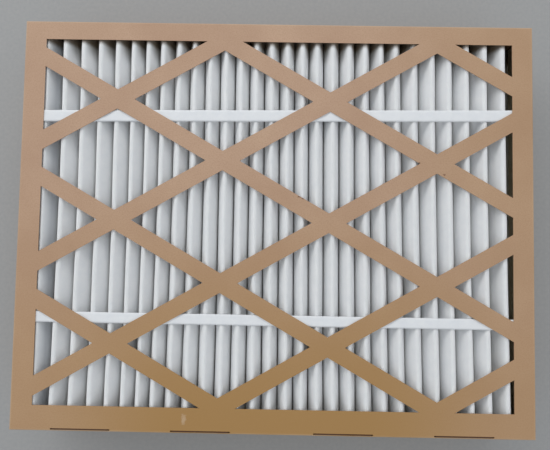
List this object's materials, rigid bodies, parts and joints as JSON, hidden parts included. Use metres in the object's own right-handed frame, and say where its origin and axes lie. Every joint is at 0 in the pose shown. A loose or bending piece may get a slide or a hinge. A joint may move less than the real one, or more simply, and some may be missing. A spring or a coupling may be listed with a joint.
{
  "type": "pleated panel air filter",
  "caption": "Deep pleated panel air filter: white pleated media in a nested kraft board frame with diagonal lattice windows on both faces.",
  "frame": {"origin": "middle of the rear face, on the surface that the filter lies on", "axes": "+X along the long side, +Y along the short side and along the pleats, +Z through the depth, out of the front face"},
  "size_m": [0.6224, 0.4952, 0.0953],
  "materials": {
    "board": "plain kraft beverage board, matt, fine fibres",
    "media": "white nonwoven synthetic filter media, soft and matt",
    "tape": "white nonwoven ribbon, matt",
    "adhesive": "cream hot-melt adhesive"
  },
  "bodies": {
    "root": {"front_frame": "board", "rear_frame": "board", "pleated_media": "media", "front_tape_upper": "tape", "front_tape_lower": "tape", "rear_tape_upper": "tape", "rear_tape_lower": "tape", "end_seal_top": "adhesive", "end_seal_bottom": "adhesive", "edge_seal_left": "adhesive", "edge_seal_right": "adhesive"}
  },
  "joints": []
}
